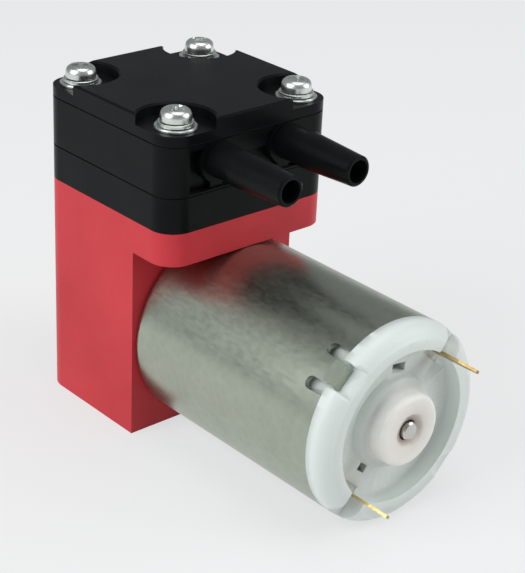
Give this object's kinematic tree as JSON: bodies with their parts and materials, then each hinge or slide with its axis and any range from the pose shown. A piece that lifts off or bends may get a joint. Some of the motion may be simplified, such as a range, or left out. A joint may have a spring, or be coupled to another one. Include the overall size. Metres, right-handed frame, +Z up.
{
  "type": "diaphragm vacuum pump",
  "caption": "Small diaphragm vacuum pump: round motor bolted to a red crank housing under a square black head with two hose nozzles.",
  "frame": {"origin": "middle of the square head projected onto the base plane of the housing", "axes": "+Z up, -Y the way the motor and both nozzles point, +X to the right seen from the rear; millimetre model stored in metres"},
  "size_m": [0.0366, 0.0822, 0.0627],
  "materials": {
    "red_casting": "satin",
    "black_plastic": "matte",
    "gasket_rubber": "matte",
    "valve_rubber": "matte",
    "screw_steel": "zinc plated",
    "bearing_steel": "ground",
    "aluminium_part": "satin",
    "rod_plastic": "satin",
    "brass_part": "satin",
    "zinc_steel": "zinc plated",
    "white_nylon": "satin",
    "bush_bronze": "sintered",
    "core_steel": "laminated",
    "copper_wire": "enamelled",
    "ferrite": "sintered"
  },
  "bodies": {
    "frame": {"pump_housing": "red_casting", "rear_cover": "red_casting", "rear_cover_screws": "screw_steel", "lower_head_plate": "black_plastic", "inlet_valve": "valve_rubber", "outlet_valve": "valve_rubber", "valve_gasket": "gasket_rubber", "port_body": "black_plastic", "cover_gasket": "gasket_rubber", "top_cover": "black_plastic", "flat_washers": "screw_steel", "lock_washers": "screw_steel", "head_screws": "screw_steel", "diaphragm": "valve_rubber", "motor_can": "zinc_steel", "motor_end_bell": "white_nylon", "front_bearing": "bush_bronze", "rear_bearing": "bush_bronze", "magnets": "ferrite", "magnet_clips": "bearing_steel", "brushes": "ferrite", "brush_arms": "brass_part", "terminals": "brass_part", "motor_screws": "screw_steel"},
    "rotor": {"motor_shaft": "bearing_steel", "rotor_core": "core_steel", "windings": "copper_wire", "commutator": "copper_wire", "thrust_washers": "rod_plastic", "eccentric": "brass_part", "set_screw": "screw_steel", "rod_bearing_inner": "bearing_steel"},
    "rod": {"connecting_rod": "rod_plastic", "rod_bearing_outer": "bearing_steel", "rod_bearing_shields": "bearing_steel", "diaphragm_disc": "aluminium_part", "diaphragm_screw": "screw_steel"}
  },
  "joints": [
    {"name": "crank_spin", "type": "hinge", "parent": "frame", "child": "rotor", "pos_m": [0, 0, 0.018], "axis": [0, 1, 0], "continuous": true},
    {"name": "rod_pivot", "type": "hinge", "parent": "rotor", "child": "rod", "pos_m": [0, 0, 0.0165], "axis": [0, 1, 0], "continuous": true, "deforming": ["diaphragm"]}
  ],
  "couplings": [
    {"joint": "rod_pivot", "follows": "crank_spin", "ratio": -1}
  ]
}
